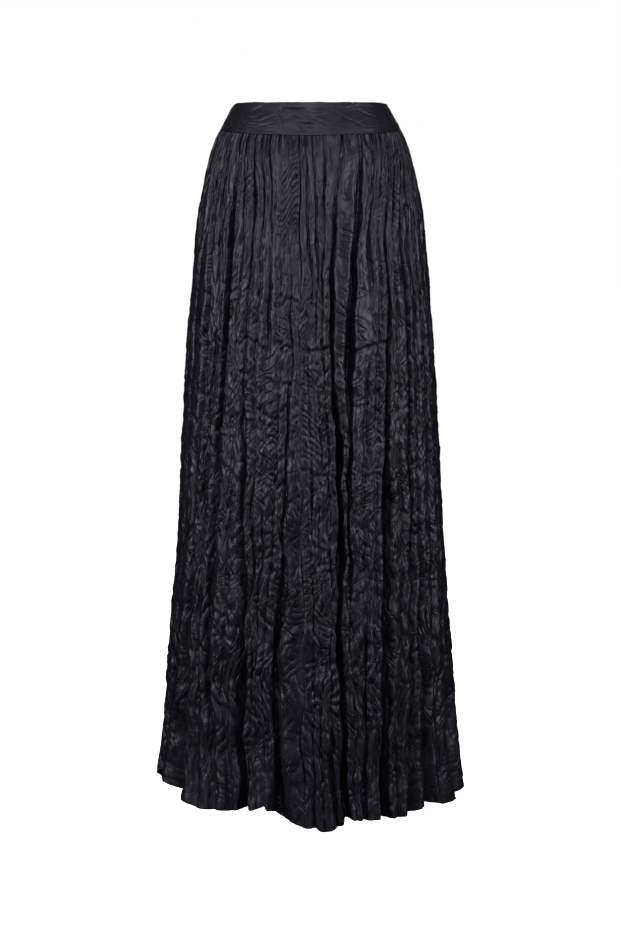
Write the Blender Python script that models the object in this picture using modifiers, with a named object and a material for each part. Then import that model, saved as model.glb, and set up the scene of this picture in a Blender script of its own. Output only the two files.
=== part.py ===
"""A worn maxi skirt: four gathered panels under a shaped waistband, zipped at the centre back.

Metres, +Z up, the front towards -Y and the wearer's left towards +X. The origin is the middle of the
waist, half way up the waistband. Heights are given as a drop below the waistband's top edge.
"""

import math

import bmesh
import bpy
import numpy as np

MM = 0.001

# Sizes that drive the rest
BAND_HEIGHT = 45 * MM
SKIRT_LENGTH = 1072 * MM
BAND_WALL = 2.5 * MM
CLOTH_WALL = 1.5 * MM
SEAM_GAP = 0.3 * MM
GATHER_DEPTH = 1.6 * MM
GATHER_END = 230 * MM
CREST_LEAN = 0.07
VALLEY_POWER = 1.5

# The form that the cloth hangs on, in millimetres: an oval at each drop
SECTION_COLUMNS = ("drop", "half_width", "half_depth", "centre_back")
SECTIONS = (
    (0, 114, 88, 0),
    (15, 121, 93, 0),
    (30, 128.5, 99, 0),
    (45, 136, 105, 1),
    (70, 149, 115, 2),
    (100, 158, 123, 4),
    (150, 169.5, 133, 6),
    (210, 177, 142, 8),
    (300, 185, 150, 9),
    (400, 193, 159, 10),
    (520, 200.5, 168, 10),
    (640, 207.5, 177, 10),
    (770, 217.5, 186, 10),
    (900, 229, 195, 11),
    (1000, 238, 203, 12),
    (1072, 249, 212, 12),
)

# Folds: where each valley runs at each drop, in degrees from the centre front, then how deep it is
# there and how far the hem is lifted, in millimetres
FOLD_DROPS = (45, 150, 300, 520, 800, 1072)
FOLD_COLUMNS = (
    "name",
    *("seam", "hip", "thigh", "knee", "shin", "hem"),
    *("seam_mm", "hip_mm", "thigh_mm", "knee_mm", "shin_mm", "hem_mm"),
    "hem_rise",
)
FRONT_FOLDS = (
    ("side_right", -90, -90, -90, -90, -90, -90, 1.5, 3, 4, 5, 6, 7, 9),
    ("right_12", -82, -79, -81, -81, -81, -85, 2, 4, 5, 6, 7, 9, 20),
    ("right_11", -73, -67, -71, -71, -72, -78, 2, 5, 6, 5, 6, 10, 32),
    ("right_10", -64, -59, -56, -60, -61, -61, 2, 5, 14, 9, 14, 40, 14),
    ("right_9", -55, -51, -49, -52, -52, -48, 2, 5, 6, 9, 8, 12, 6),
    ("right_8", -47, -42, -42, -44, -46, -37, 3, 13, 16, 16, 13, 9, 12),
    ("right_7", -41, -35, -36, -37, -37, -30, 2, 5, 5, 5, 6, 10, 15),
    ("right_6", -35, -29, -30, -31, -28, -25, 3, 8, 14, 16, 14, 24, 22),
    ("right_5", -30, -24, -25, -25, -24, -22, 2, 5, 5, 7, 6, 6, 21),
    ("right_4", -25, -20, -20, -20, -21, -19, 2, 5, 8, 5, 6, 6, 24),
    ("right_3", -19, -15, -14, -15, -18, -16, 2, 6, 5, 5, 6, 6, 30),
    ("right_2", -13, -10, -8, -10, -14, -13, 2, 5, 12, 12, 15, 22, 14),
    ("centre_front", -7, -5, -4, -4, -3, -3, 1.5, 3, 3, 3, 4, 6, -1),
    ("left_1", -3, -1, 0, 0, 1, 1, 2, 6, 5, 7, 6, 8, -2),
    ("left_2", 1, 3, 3, 4, 4, 5, 2, 6, 6, 5, 6, 8, -9),
    ("left_3", 9, 7, 6, 8, 8, 9, 2, 7, 6, 6, 8, 14, -3),
    ("left_4", 20, 12, 9, 12, 12, 14, 4, 16, 20, 22, 26, 28, 8),
    ("left_5", 32, 25, 20, 17, 16, 17, 4, 16, 20, 16, 8, 6, 8),
    ("left_6", 41, 32, 30, 24, 22, 20, 2, 10, 12, 8, 8, 12, 6),
    ("left_7", 48, 37, 34, 29, 27, 23, 2, 4, 5, 5, 5, 6, 5),
    ("left_8", 54, 42, 38, 35, 31, 27, 2, 7, 12, 20, 20, 26, 4),
    ("left_9", 60, 47, 45, 43, 39, 33, 2, 6, 6, 6, 8, 10, 2),
    ("left_10", 66, 53, 52, 49, 45, 39, 2, 8, 12, 12, 8, 14, 3),
    ("left_11", 72, 59, 59, 56, 52, 49, 2, 6, 8, 8, 14, 20, 12),
    ("left_12", 77, 66, 67, 66, 62, 58, 2, 6, 8, 10, 9, 10, -2),
    ("left_13", 83, 74, 75, 75, 72, 72, 2, 4, 8, 9, 10, 28, -4),
    ("side_left", 90, 90, 90, 90, 90, 90, 1.5, 3, 4, 5, 6, 7, 0),
)
BACK_FOLDS_A_SIDE = 10
BACK_WANDER = 1.6
BACK_SHALLOW = (2, 5, 5, 6, 7, 9)
BACK_DEEP = (3, 10, 14, 17, 17, 24)
CENTRE_BACK = (1.5, 2, 3, 4, 4, 6)
BACK_RISE = 5
RISE_START = 860 * MM

# Where the walls are sampled: rows down the skirt, and columns across each wave, valley to valley
SKIRT_ROWS = (45, 60, 84, 118, 165, 240, 350, 500, 660, 820, 950, 1030, 1072)
WAVE_STEPS = (0.0, 0.13, 0.3, 0.5, 0.7, 0.87)
BAND_ROWS = (0, 15, 30, 45)
BAND_STEP = 3.75

# Concealed zip: a tape behind the centre back seam, a slider at its top and a pull tab
ZIP_LENGTH = 215 * MM
TAPE_WIDTH = 22 * MM
TAPE_WALL = 1.0 * MM
CHAIN_WIDTH = 4 * MM
CHAIN_WALL = 1.4 * MM
SLIDER_DROP = 9 * MM
SLIDER_SIZE = (4.6 * MM, 1.6 * MM, 8.0 * MM)
BRIDGE_WIDTH = 1.4 * MM
BRIDGE_WALL = 0.8 * MM
TUNNEL_HEIGHT = 2.0 * MM
TUNNEL_LENGTH = 3.2 * MM
PULL_LENGTH = 20 * MM
PULL_WIDTH = 4.0 * MM
PULL_WALL = 1.0 * MM
PULL_BAR = 1.0 * MM
WINDOW_WIDTH = 2.2 * MM
WINDOW_LENGTH = 2.8 * MM
PULL_LEAN = 4.0
EDGE_ROUND = 0.35 * MM

SATIN = (0.018, 0.017, 0.022, 1.0)
BLACK_METAL = (0.03, 0.03, 0.034, 1.0)


def clear_scene():
    for old in list(bpy.data.objects):
        bpy.data.objects.remove(old)


def collection(name):
    made = bpy.data.collections.new(name)
    bpy.context.scene.collection.children.link(made)
    return made


def material(name, colour, roughness, metallic):
    made = bpy.data.materials.new(name)
    made.use_nodes = True
    shader = made.node_tree.nodes["Principled BSDF"]
    shader.inputs["Base Color"].default_value = colour
    shader.inputs["Roughness"].default_value = roughness
    shader.inputs["Metallic"].default_value = metallic
    made.diffuse_color = colour
    return made


def smooth_rows(levels, table, places):
    """Each place's row of a table given at some levels, on a smooth curve through its rows."""
    levels = np.asarray(levels, float)
    table = np.asarray(table, float)
    slopes = np.gradient(table, levels, axis=0)
    upper = np.clip(np.searchsorted(levels, places, side="right") - 1, 0, len(levels) - 2)
    span = (levels[upper + 1] - levels[upper])[:, None]
    t = ((places - levels[upper])[:, None]) / span
    start = table[upper] * (1 + 2 * t) * (1 - t) ** 2 + slopes[upper] * span * t * (1 - t) ** 2
    end = table[upper + 1] * (3 - 2 * t) * t**2 - slopes[upper + 1] * span * t**2 * (1 - t)
    return start + end


def back_fold(number):
    """Angles and depths of one valley behind, counted from the left side seam round to the right one."""
    gaps = BACK_FOLDS_A_SIDE + 1
    middle = 90 + 90 * number / gaps
    at_centre = number == gaps
    sway = 0 if at_centre else BACK_WANDER
    angles = [middle + sway * math.sin(2.3 * number + 0.9 * level) for level in range(len(FOLD_DROPS))]
    if at_centre:
        return angles, list(CENTRE_BACK)
    depths = BACK_DEEP if number % 3 == 1 else BACK_SHALLOW
    unevenness = 1 + 0.25 * math.sin(1.7 * number)
    return angles, [depth * unevenness for depth in depths]


def fold_table():
    """Angles, depths and hem rises of all valleys, once round the skirt and back to the start."""
    angle_columns = slice(FOLD_COLUMNS.index("seam"), FOLD_COLUMNS.index("hem") + 1)
    depth_columns = slice(FOLD_COLUMNS.index("seam_mm"), FOLD_COLUMNS.index("hem_mm") + 1)
    rise_column = FOLD_COLUMNS.index("hem_rise")
    angles = [row[angle_columns] for row in FRONT_FOLDS]
    depths = [row[depth_columns] for row in FRONT_FOLDS]
    rises = [row[rise_column] for row in FRONT_FOLDS]
    for number in range(1, 2 * (BACK_FOLDS_A_SIDE + 1)):
        behind = back_fold(number)
        angles.append(behind[0])
        depths.append(behind[1])
        rises.append(BACK_RISE * math.sin(1.9 * number))
    angles.append([angle + 360 for angle in angles[0]])
    depths.append(depths[0])
    rises.append(rises[0])
    return np.array(angles, float).T, np.array(depths, float).T, np.array(rises, float)


FOLD_ANGLES, FOLD_DEPTHS, HEM_RISES = fold_table()
FOLD_NAMES = [row[0] for row in FRONT_FOLDS]
SIDE_RIGHT = FOLD_NAMES.index("side_right")
CENTRE_FRONT = FOLD_NAMES.index("centre_front")
SIDE_LEFT = FOLD_NAMES.index("side_left")
CENTRE_BACK_FOLD = SIDE_LEFT + BACK_FOLDS_A_SIDE + 1
LAST_FOLD = CENTRE_BACK_FOLD + BACK_FOLDS_A_SIDE + 1


def section(drops):
    """Half width, half depth and centre of the oval at each drop, in metres."""
    table = np.array(SECTIONS, float)
    levels = table[:, SECTION_COLUMNS.index("drop")]
    sizes = table[:, SECTION_COLUMNS.index("half_width") :]
    rows = smooth_rows(levels, sizes, drops / MM) * MM
    return rows[:, 0:1], rows[:, 1:2], rows[:, 2:3]


def on_section(degrees, inset, drops):
    """Points at an angle from the centre front on each drop's oval, moved in square to its surface."""
    half_width, half_depth, centre = section(drops)
    angle = np.radians(degrees)
    across, along = half_depth * np.sin(angle), -half_width * np.cos(angle)
    length = np.hypot(across, along)
    above, below = section(drops - MM), section(drops + MM)
    wider, deeper, further = [(low - high) / (2 * MM) for high, low in zip(above, below)]
    flare = (wider * np.sin(angle) * across + (further - deeper * np.cos(angle)) * along) / length
    inward = inset / np.hypot(1, flare)
    x = half_width * np.sin(angle) - inward * across / length
    y = centre - half_depth * np.cos(angle) - inward * along / length
    z = BAND_HEIGHT / 2 - drops[:, None] - inward * flare
    return np.stack([x, y, z], axis=-1)


def valley(t):
    """Share of a valley's depth at a share of the way to the next one."""
    return np.clip(1 - 2 * t, 0, 1) ** VALLEY_POWER


def skirt_points(waves, drops):
    """Outer points of the gathered cloth. waves counts valleys from the right side seam."""
    waves = np.asarray(waves, float)
    before = np.minimum(waves.astype(int), LAST_FOLD - 1)
    t = waves - before
    leaning = t - CREST_LEAN * np.sin(2 * math.pi * t)
    angles = smooth_rows(FOLD_DROPS, FOLD_ANGLES, drops / MM)
    depths = smooth_rows(FOLD_DROPS, FOLD_DEPTHS, drops / MM) * MM
    degrees = angles[:, before] * (1 - leaning) + angles[:, before + 1] * leaning
    half_gap = np.degrees(SEAM_GAP / 2 / section(drops)[1][:, 0])
    degrees[:, 0] += half_gap
    degrees[:, -1] -= half_gap
    inset = depths[:, before] * valley(t) + depths[:, before + 1] * valley(1 - t)
    fading = np.clip(1 - (drops - BAND_HEIGHT) / (GATHER_END - BAND_HEIGHT), 0, 1)
    gathers = GATHER_DEPTH * (1 + np.cos(4 * math.pi * t)) / 2
    points = on_section(degrees, inset + fading[:, None] * gathers + SEAM_GAP, drops)
    rise = (HEM_RISES[before] * (1 - t) + HEM_RISES[before + 1] * t) * MM
    rising = np.clip((drops - RISE_START) / (SKIRT_LENGTH - RISE_START), 0, 1) ** 2
    points[:, :, 2] += rising[:, None] * rise
    return points


def cloth_wall(name, points, wall, finish, group):
    """A wall of cloth through a grid of outer points, its thickness added on the inside."""
    rows, columns = points.shape[:2]
    mesh = bpy.data.meshes.new(name)
    bm = bmesh.new()
    bmesh.ops.create_grid(bm, x_segments=columns - 1, y_segments=rows - 1, size=0.5)
    for vertex in bm.verts:
        column = round((vertex.co.x + 0.5) * (columns - 1))
        row = round((0.5 - vertex.co.y) * (rows - 1))
        vertex.co = points[row, column]
    bm.to_mesh(mesh)
    bm.free()
    mesh.shade_smooth()
    mesh.materials.append(finish)
    made = bpy.data.objects.new(name, mesh)
    group.objects.link(made)
    solidify = made.modifiers.new("wall", "SOLIDIFY")
    solidify.thickness = wall
    solidify.offset = -1
    return made


def skirt_panel(name, first_fold, last_fold, finish, group):
    """One gathered panel, from the seam at one valley to the seam at another."""
    waves = [fold + step for fold in range(first_fold, last_fold) for step in WAVE_STEPS] + [last_fold]
    drops = np.array(SKIRT_ROWS, float) * MM
    drops[0] += 1.2 * SEAM_GAP
    return cloth_wall(name, skirt_points(waves, drops), CLOTH_WALL, finish, group)


def band_piece(name, start, end, finish, group):
    """One piece of the waistband, between two seams given in degrees from the centre front."""
    drops = np.array(BAND_ROWS, float) * MM
    columns = round((end - start) / BAND_STEP) + 1
    degrees = np.tile(np.linspace(start, end, columns), (len(drops), 1))
    half_gap = np.degrees(SEAM_GAP / 2 / section(drops)[1][:, 0])
    degrees[:, 0] += half_gap
    degrees[:, -1] -= half_gap
    return cloth_wall(name, on_section(degrees, 0.0, drops), BAND_WALL, finish, group)


def zip_inset(drops):
    """How far behind the outside of the centre back the zip tape lies."""
    seam = smooth_rows(FOLD_DROPS, FOLD_DEPTHS, np.maximum(drops / MM, FOLD_DROPS[0])) * MM
    behind_panel = seam[:, CENTRE_BACK_FOLD] + CLOTH_WALL + GATHER_DEPTH
    return np.maximum(behind_panel, BAND_WALL + SEAM_GAP) + 3 * SEAM_GAP


def zip_strip(name, width, wall, inset_more, finish, group):
    """A straight strip down the inside of the centre back seam."""
    drops = np.array([2, 15, 30, 45, 62, 92, 145, 2 + ZIP_LENGTH / MM]) * MM
    centre = on_section(np.full((len(drops), 1), 180.0), (zip_inset(drops) + inset_more)[:, None], drops)
    points = np.repeat(centre, 2, axis=1)
    points[:, 0, 0] = width / 2
    points[:, 1, 0] = -width / 2
    return cloth_wall(name, points, wall, finish, group)


def block(name, size, centre, group):
    """A box with its own mesh at its real size."""
    mesh = bpy.data.meshes.new(name)
    bm = bmesh.new()
    bmesh.ops.create_cube(bm, size=1.0)
    bmesh.ops.scale(bm, vec=size, verts=bm.verts)
    bmesh.ops.translate(bm, vec=centre, verts=bm.verts)
    bm.to_mesh(mesh)
    bm.free()
    made = bpy.data.objects.new(name, mesh)
    group.objects.link(made)
    return made


def helper(made, parent):
    made.parent = parent
    made.hide_render = True
    made.display_type = "WIRE"
    return made


def boolean(target, operation, other):
    cut = target.modifiers.new(operation.lower(), "BOOLEAN")
    cut.operation = operation
    cut.object = other


def zip_frame(group):
    """An empty on the outside of the centre back, its Y axis out of the cloth and Z up along it."""
    spot = on_section(np.array([[180.0]]), 0.0, np.array([SLIDER_DROP]))[0, 0]
    below = on_section(np.array([[180.0]]), 0.0, np.array([SLIDER_DROP + PULL_LENGTH]))[0, 0]
    frame = bpy.data.objects.new("zip_frame", None)
    frame.location = spot
    frame.rotation_euler.x = math.atan2(below[1] - spot[1], spot[2] - below[2])
    group.objects.link(frame)
    return frame


def zip_slider(frame, finish, group, cutters):
    """The slider's body with a bridge over it, under which the pull tab's bar turns."""
    width, depth, length = SLIDER_SIZE
    face = SEAM_GAP + depth
    body = block("zip_slider", SLIDER_SIZE, (0, SEAM_GAP + depth / 2, 0), group)
    body.parent = frame
    body.data.materials.append(finish)
    rounding = body.modifiers.new("rounding", "BEVEL")
    rounding.width = EDGE_ROUND
    rounding.segments = 2
    sunk = depth / 4
    height = TUNNEL_HEIGHT + BRIDGE_WALL + sunk
    bridge_size = (BRIDGE_WIDTH, height, TUNNEL_LENGTH + 2 * BRIDGE_WALL)
    bridge = helper(block("zip_bridge", bridge_size, (0, face - sunk + height / 2, 0), cutters), frame)
    tunnel_depth = TUNNEL_HEIGHT + 2 * sunk
    tunnel_centre = (0, face + TUNNEL_HEIGHT - tunnel_depth / 2, 0)
    tunnel_size = (3 * BRIDGE_WIDTH, tunnel_depth, TUNNEL_LENGTH)
    tunnel = helper(block("zip_tunnel", tunnel_size, tunnel_centre, cutters), frame)
    boolean(bridge, "DIFFERENCE", tunnel)
    boolean(body, "UNION", bridge)
    return body


def outline(curve, corners):
    """A closed straight-sided outline in a flat curve."""
    spline = curve.splines.new("POLY")
    spline.points.add(len(corners) - 1)
    for point, (x, y) in zip(spline.points, corners):
        point.co = (x, y, 0, 1)
    spline.use_cyclic_u = True


def pull_tab(frame, finish, group):
    """The pull tab: a flat drop with a window, hung by the bar at its top."""
    hinge = bpy.data.objects.new("pull_hinge", None)
    hinge.parent = frame
    hinge.location = (0, SEAM_GAP + SLIDER_SIZE[1] + TUNNEL_HEIGHT / 2, 0)
    hinge.rotation_euler.x = -math.radians(PULL_LEAN)
    group.objects.link(hinge)
    curve = bpy.data.curves.new("zip_pull", "CURVE")
    curve.dimensions = "2D"
    curve.fill_mode = "BOTH"
    curve.extrude = PULL_WALL / 2
    top = PULL_BAR / 2
    radius = PULL_WIDTH / 2
    round_end = [
        (radius * math.cos(turn), -PULL_LENGTH + radius + radius * math.sin(turn))
        for turn in np.radians(np.arange(0, -181, -30))
    ]
    waist = (0.36 * PULL_WIDTH, -0.45 * PULL_LENGTH)
    outline(curve, [(radius, top), waist, *round_end, (-waist[0], waist[1]), (-radius, top)])
    left, right = -WINDOW_WIDTH / 2, WINDOW_WIDTH / 2
    high, low = -PULL_BAR / 2, -PULL_BAR / 2 - WINDOW_LENGTH
    outline(curve, [(left, high), (right, high), (right, low), (left, low)])
    made = bpy.data.objects.new("zip_pull", curve)
    made.parent = hinge
    made.rotation_euler.x = math.radians(90)
    curve.materials.append(finish)
    group.objects.link(made)
    return made


def main():
    clear_scene()
    skirt = collection("maxi_skirt")
    cutters = collection("cutters")
    satin = material("satin", SATIN, 0.42, 0.0)
    band_satin = material("band_satin", SATIN, 0.42, 0.0)
    tape = material("zip_tape", SATIN, 0.8, 0.0)
    metal = material("zip_metal", BLACK_METAL, 0.35, 1.0)

    band_piece("band_front", -90, 90, band_satin, skirt)
    band_piece("band_back_left", 90, 180, band_satin, skirt)
    band_piece("band_back_right", 180, 270, band_satin, skirt)

    skirt_panel("skirt_front_right", SIDE_RIGHT, CENTRE_FRONT, satin, skirt)
    skirt_panel("skirt_front_left", CENTRE_FRONT, SIDE_LEFT, satin, skirt)
    skirt_panel("skirt_back_left", SIDE_LEFT, CENTRE_BACK_FOLD, satin, skirt)
    skirt_panel("skirt_back_right", CENTRE_BACK_FOLD, LAST_FOLD, satin, skirt)

    zip_strip("zip_tape", TAPE_WIDTH, TAPE_WALL, 0.0, tape, skirt)
    zip_strip("zip_chain", CHAIN_WIDTH, CHAIN_WALL, TAPE_WALL + SEAM_GAP, tape, skirt)
    frame = zip_frame(skirt)
    zip_slider(frame, metal, skirt, cutters)
    pull_tab(frame, metal, skirt)


main()
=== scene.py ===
"""A crushed satin maxi skirt in its worn form, dressed over its solids.

Metres, +Z up, the front towards -Y and the wearer's left towards +X. Heights on the skirt are drops
below the waistband's top edge. Tables are in millimetres and in degrees from the centre front.
"""

import math
from types import SimpleNamespace

import bmesh
import bpy
import numpy as np
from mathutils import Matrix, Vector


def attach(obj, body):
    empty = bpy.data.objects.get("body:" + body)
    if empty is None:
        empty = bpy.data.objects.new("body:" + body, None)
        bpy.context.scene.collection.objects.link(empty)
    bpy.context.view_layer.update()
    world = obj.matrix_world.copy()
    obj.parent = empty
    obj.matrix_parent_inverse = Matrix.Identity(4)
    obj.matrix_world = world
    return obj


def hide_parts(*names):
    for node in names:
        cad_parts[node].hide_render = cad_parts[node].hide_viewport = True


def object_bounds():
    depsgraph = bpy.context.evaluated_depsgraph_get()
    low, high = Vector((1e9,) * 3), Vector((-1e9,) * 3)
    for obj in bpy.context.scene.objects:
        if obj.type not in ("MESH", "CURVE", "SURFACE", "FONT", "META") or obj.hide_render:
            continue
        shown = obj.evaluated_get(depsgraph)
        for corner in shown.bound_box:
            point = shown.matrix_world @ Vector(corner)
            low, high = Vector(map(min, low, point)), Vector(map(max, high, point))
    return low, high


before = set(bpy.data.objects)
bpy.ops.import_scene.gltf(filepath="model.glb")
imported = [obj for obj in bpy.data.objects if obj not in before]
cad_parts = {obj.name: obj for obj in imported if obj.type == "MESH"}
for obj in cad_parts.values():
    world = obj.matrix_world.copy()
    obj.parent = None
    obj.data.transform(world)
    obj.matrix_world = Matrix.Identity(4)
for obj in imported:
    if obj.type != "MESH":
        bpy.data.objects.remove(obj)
cad_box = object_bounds()

MM = 0.001

BAND_HEIGHT = 45 * MM
SKIRT_LENGTH = 1072 * MM
BAND_WALL = 2.5 * MM
SEAM_GAP = 0.3 * MM

# The gathers under the waistband and how the cloth puffs out above them
GATHER_DEPTH = 2.9 * MM
GATHER_END = 310 * MM
PUFF = 1.6 * MM

# The valleys between the folds: a deep one has steep sides and a flat floor
CREST_LEAN = 0.07
VALLEY_POWER = 1.5
SHALLOW_LOSS = 0.35
DEEP_FLOOR = 0.19
DEEPER = 0.1

# The rolled hem, with the cloth's length to each of its rows, and the turnings at the seams
HEM_ROLL = 1.1 * MM
HEM_BACK = 7 * MM
HEM_STEPS = (1.2, 2.4, 3.5, 4.6, 5.8, 7.0, 9.4, 11.9, 14)
TURNING_DEPTHS = (7.0, 2.0)

# The top edge of a skirt panel, inside the waistband: how far in, and the drops of its two rows
UNDER_BAND = 3.3 * MM
UNDER_BAND_DROPS = (39, 46)

# Points in each skirt panel's shell, and how far apart the panels take their noise from
PANEL_ROWS = 460
PANEL_COLUMNS = 206
PANEL_SHIFT = 700.0
KNEE_DROP = 600 * MM

# The waistband laid flat
BAND_RADIUS = 125 * MM
BAND_MM_A_DEGREE = 2.3

# The zip behind the centre back, as the solids have it, and its coil and stitches
CLOTH_WALL = 1.5 * MM
SOLID_GATHERS = 1.6 * MM
ZIP_TOP = 2
ZIP_BOTTOM = 217
TAPE_WALL = 1.0 * MM
CHAIN_WALL = 1.4 * MM
COIL_PITCH = 1.5
COIL_SIZE = (3.0, 1.9, 1.1)
COIL_ASIDE = 0.95
STITCH_PITCH = 3.2
STITCH_SIZE = (0.45, 0.5, 2.2)
STITCH_ASIDE = 8.8

# The oval that the cloth hangs on at each drop
SECTION_COLUMNS = ("drop", "half_width", "half_depth", "centre_back")
SECTIONS = (
    (0, 114, 88, 0),
    (15, 121, 93, 0),
    (30, 128.5, 99, 0),
    (45, 136, 105, 1),
    (70, 149, 115, 2),
    (100, 158, 123, 4),
    (150, 169.5, 133, 6),
    (210, 177, 142, 8),
    (300, 185, 150, 9),
    (400, 193, 159, 10),
    (520, 200.5, 168, 10),
    (640, 207.5, 177, 10),
    (770, 217.5, 186, 10),
    (900, 229, 195, 11),
    (1000, 238, 203, 12),
    (1072, 249, 212, 12),
)

# Where each valley runs at each drop, how deep it is there and how far the hem is lifted
FOLD_DROPS = (45, 150, 300, 520, 800, 1072)
FOLD_COLUMNS = (
    "name",
    *("seam", "hip", "thigh", "knee", "shin", "hem"),
    *("seam_mm", "hip_mm", "thigh_mm", "knee_mm", "shin_mm", "hem_mm"),
    "hem_rise",
)
FRONT_FOLDS = (
    ("side_right", -90, -90, -90, -90, -90, -90, 1.5, 3, 4, 5, 6, 7, 9),
    ("right_12", -82, -79, -81, -81, -81, -85, 2, 4, 5, 6, 7, 9, 20),
    ("right_11", -73, -67, -71, -71, -72, -78, 2, 5, 6, 5, 6, 10, 32),
    ("right_10", -64, -59, -56, -60, -61, -61, 2, 5, 14, 9, 14, 40, 14),
    ("right_9", -55, -51, -49, -52, -52, -48, 2, 5, 6, 9, 8, 12, 6),
    ("right_8", -47, -42, -42, -44, -46, -37, 3, 11, 13, 11, 11, 9, 12),
    ("right_7", -41, -35, -36, -37, -37, -30, 2, 5, 5, 5, 6, 10, 15),
    ("right_6", -35, -29, -30, -31, -28, -25, 3, 6, 7, 10, 13, 24, 22),
    ("right_5", -30, -24, -25, -25, -24, -22, 2, 5, 5, 7, 6, 6, 21),
    ("right_4", -25, -20, -20, -20, -21, -19, 2, 5, 8, 5, 6, 6, 24),
    ("right_3", -19, -15, -14, -15, -18, -16, 1.5, 1.5, 5, 5, 6, 6, 30),
    ("right_2", -13, -10, -8, -10, -14, -13, 1.5, 1, 6, 9, 14, 22, 14),
    ("centre_front", -7, -5, -4, -4, -3, -3, 1.5, 3, 3, 3, 4, 6, -1),
    ("left_1", -3, -1, 0, 0, 1, 1, 2, 6, 5, 7, 6, 8, -2),
    ("left_2", 1, 3, 3, 4, 4, 5, 2, 6, 6, 5, 6, 8, -9),
    ("left_3", 9, 7, 6, 8, 8, 9, 2, 7, 6, 6, 8, 14, -3),
    ("left_4", 20, 12, 9, 12, 12, 14, 3, 9, 14, 22, 26, 28, 8),
    ("left_5", 32, 25, 20, 17, 16, 17, 3, 11, 17, 15, 8, 6, 8),
    ("left_6", 41, 32, 30, 24, 22, 20, 2, 8, 7, 6, 8, 12, 6),
    ("left_7", 48, 37, 34, 29, 27, 23, 2, 4, 5, 5, 5, 6, 5),
    ("left_8", 54, 42, 38, 35, 31, 27, 2, 7, 12, 20, 20, 26, 4),
    ("left_9", 60, 47, 45, 43, 39, 33, 2, 6, 6, 6, 8, 10, 2),
    ("left_10", 66, 53, 52, 49, 45, 39, 2, 8, 12, 12, 8, 14, 3),
    ("left_11", 72, 59, 59, 56, 52, 49, 2, 6, 8, 8, 14, 20, 12),
    ("left_12", 77, 66, 67, 66, 62, 58, 2, 6, 8, 10, 9, 10, -2),
    ("left_13", 83, 74, 75, 75, 72, 72, 2, 4, 8, 9, 10, 28, -4),
    ("side_left", 90, 90, 90, 90, 90, 90, 1.5, 3, 4, 5, 6, 7, 0),
)
BACK_FOLDS_A_SIDE = 10
BACK_WANDER = 1.6
BACK_SHALLOW = (2, 5, 5, 6, 7, 9)
BACK_DEEP = (3, 10, 14, 17, 17, 24)
CENTRE_BACK = (1.5, 2, 3, 4, 4, 6)
BACK_RISE = 5
RISE_START = 860 * MM

# Height in millimetres of each kind of relief down the skirt
RELIEF_COLUMNS = ("drop", "crush", "streak", "facet", "swell")
RELIEF = (
    (45, 0.4, 1.0, 0.2, 0.3),
    (80, 1.1, 1.4, 0.5, 0.6),
    (150, 1.5, 1.3, 0.8, 1.0),
    (240, 1.7, 1.2, 1.0, 1.2),
    (310, 2.3, 1.1, 0.8, 1.5),
    (420, 2.8, 1.0, 0.8, 1.6),
    (640, 2.2, 1.2, 1.6, 1.8),
    (760, 1.5, 1.6, 2.2, 2.2),
    (900, 1.1, 1.8, 2.4, 2.5),
    (980, 0.8, 1.8, 1.7, 2.5),
    (1072, 0.4, 1.4, 0.9, 2.2),
)

# Creases pressed across the folds: from and to in degrees and drops, their depth
CREASE_COLUMNS = ("from_degrees", "from_drop", "to_degrees", "to_drop", "depth")
CREASES = (
    (-41, 273, -29, 270, 1.5),
    (-43, 295, -32, 289, 1.8),
    (-12, 282, -2, 286, 1.6),
    (-35, 349, -28, 343, 1.8),
    (-28, 343, -21, 358, 2.8),
    (-15, 357, -8, 352, 2.0),
    (-3, 360, 4, 357, 3.2),
    (4, 357, 9, 350, 3.0),
    (14, 359, 28, 353, 2.2),
    (27, 354, 39, 344, 2.8),
    (-34, 391, -26, 397, 1.5),
    (1, 374, 6, 377, 1.5),
    (-19, 403, -14, 409, 1.9),
    (-14, 409, -8, 404, 1.9),
    (19, 438, 32, 447, 1.9),
    (-26, 546, -16, 538, 1.6),
    (-4, 536, 6, 541, 1.8),
    (9, 545, 17, 540, 1.6),
    (22, 542, 33, 549, 1.8),
    (-60, 430, -44, 436, 1.6),
    (-64, 640, -54, 632, 1.6),
    (-22, 655, -12, 648, 1.4),
    (15, 664, 24, 660, 1.4),
    (100, 352, 128, 346, 2.2),
    (128, 347, 160, 358, 2.2),
    (160, 358, 200, 350, 2.4),
    (200, 351, 240, 344, 2.2),
    (120, 548, 165, 540, 2.0),
    (190, 542, 235, 548, 2.0),
    (110, 660, 140, 668, 1.8),
    (215, 700, 245, 690, 1.8),
)

BAND_CREASES = (
    (-19, 8, -9, 10.5, 1.5),
    (-10, 10, -4, 9, 1.2),
    (4, 10, 11, 9.5, 1.5),
    (-25, 5, -18, 29, 0.9),
    (-13, 20, -7, 21, 1.0),
    (-36, 28, -24, 19, 0.9),
    (-10, 28, 2, 29.5, 1.3),
    (-8, 34, 0, 34.5, 1.1),
    (-9, 39.5, -2, 39, 1.1),
    (2, 24, 12, 32, 0.8),
    (14, 12, 27, 26, 0.7),
    (22, 22, 34, 31, 0.9),
    (38, 14, 50, 24, 0.8),
    (-56, 12, -44, 26, 0.8),
    (118, 14, 128, 12, 1.1),
    (140, 24, 152, 27, 1.1),
    (206, 13, 218, 15, 1.1),
    (232, 28, 243, 26, 1.1),
)

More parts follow.
